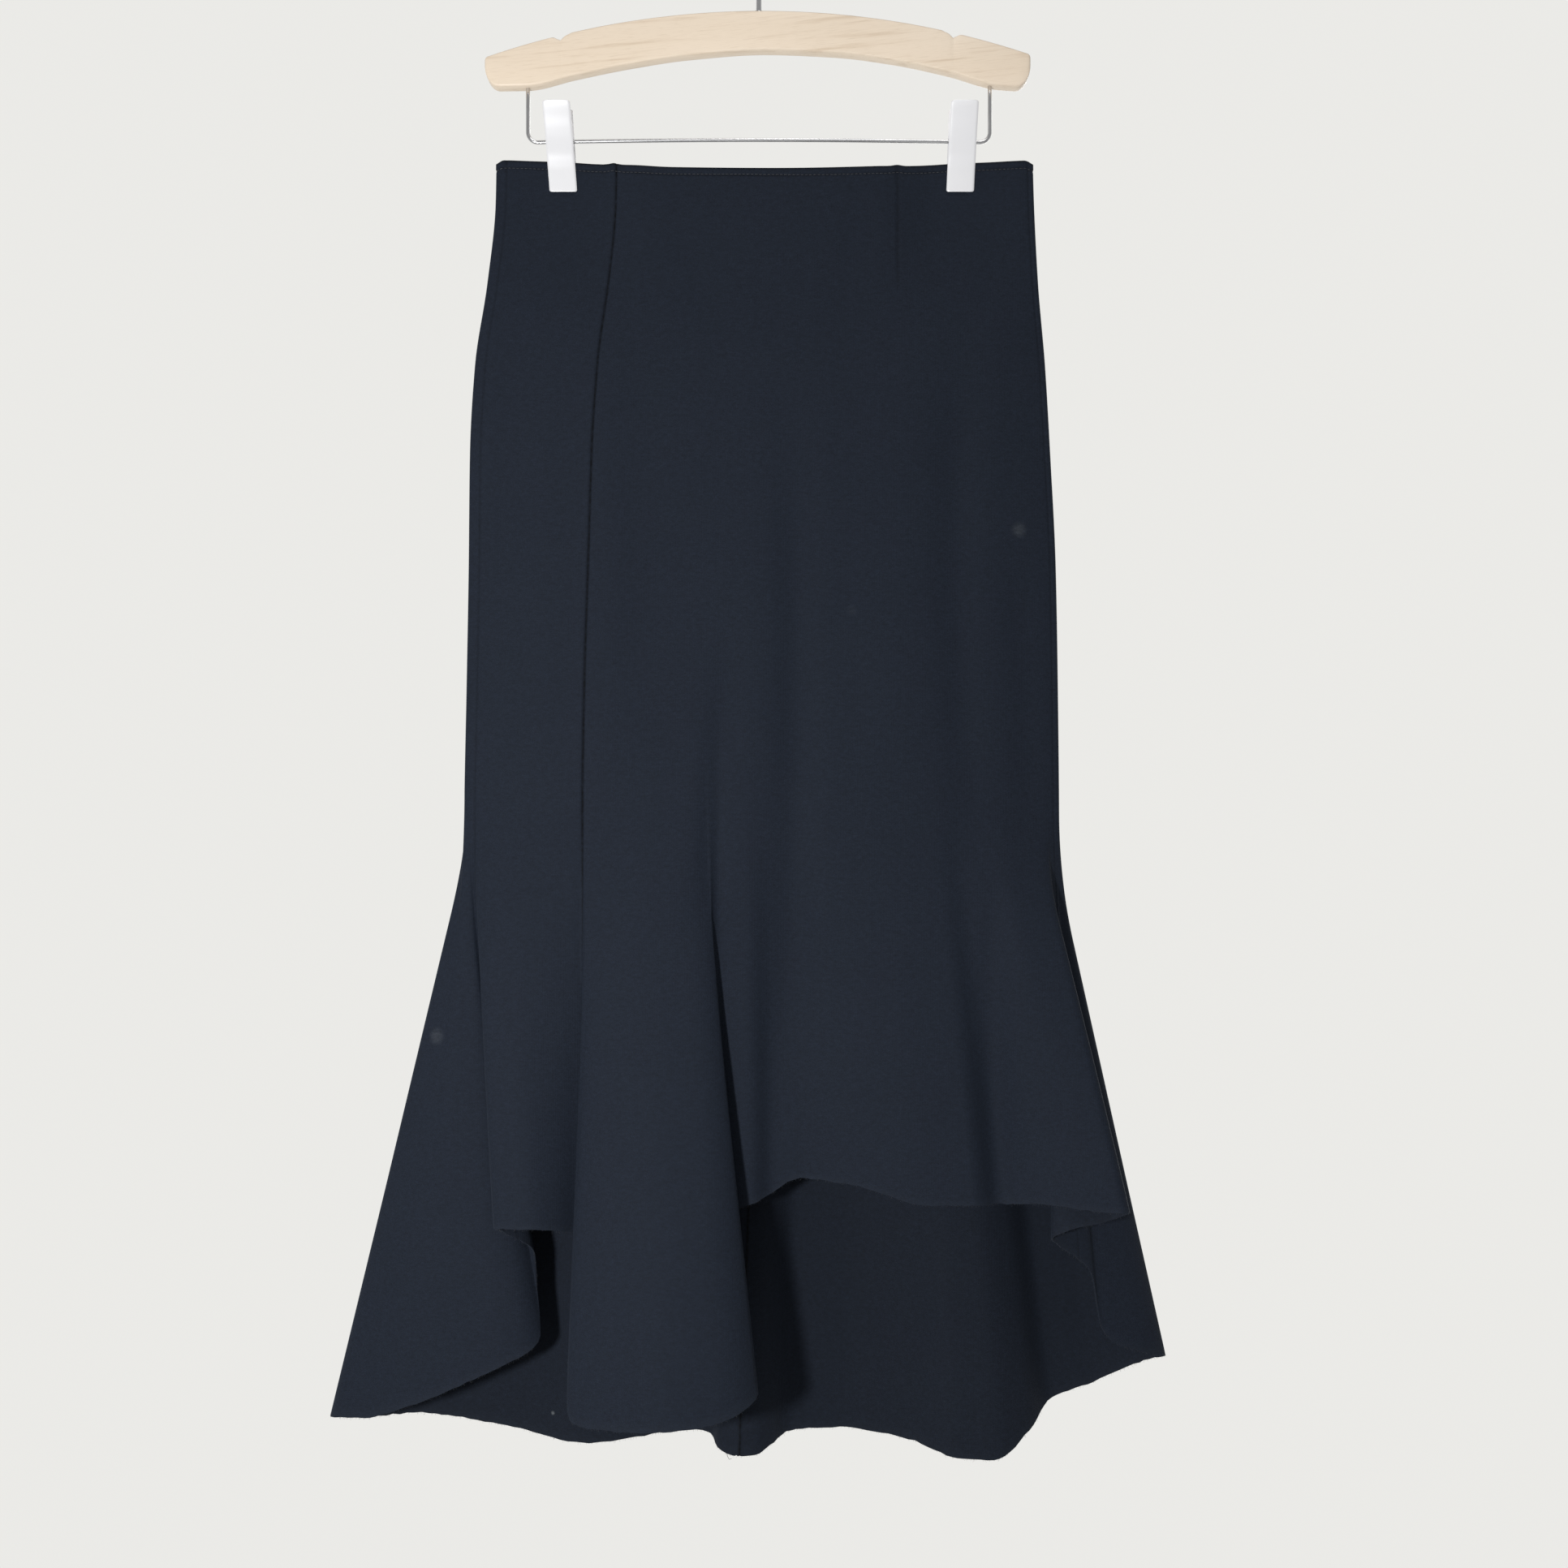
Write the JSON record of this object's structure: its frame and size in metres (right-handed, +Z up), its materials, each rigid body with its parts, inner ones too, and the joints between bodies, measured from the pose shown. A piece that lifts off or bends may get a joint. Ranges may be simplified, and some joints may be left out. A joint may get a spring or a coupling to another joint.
{
  "type": "mermaid fishtail skirt on a clip hanger",
  "caption": "Close-fitting knit skirt with a flared, dipping fishtail hem, hung by its waist from a wooden hanger with a wire bar and spring clips.",
  "frame": {"origin": "inside top of the hanger's hook, where the rail carries it", "axes": "+Z up, -Y the skirt's front, +X the viewer's right when facing the front"},
  "size_m": [0.5454, 0.0974, 1.0276],
  "materials": {
    "cloth": "near-black navy smooth knit, matt",
    "wood": "pale, fine grained, satin lacquer",
    "steel": "bright drawn wire",
    "clip": "bright satin plate"
  },
  "bodies": {
    "root": {"front_main_panel": "cloth", "front_left_panel": "cloth", "back_left_panel": "cloth", "back_right_panel": "cloth", "hanger_wood": "wood", "hook": "steel", "trouser_bar": "steel", "clip_left_front": "clip", "clip_left_back": "clip", "clip_left_spring": "steel", "clip_right_front": "clip", "clip_right_back": "clip", "clip_right_spring": "steel"}
  },
  "joints": []
}
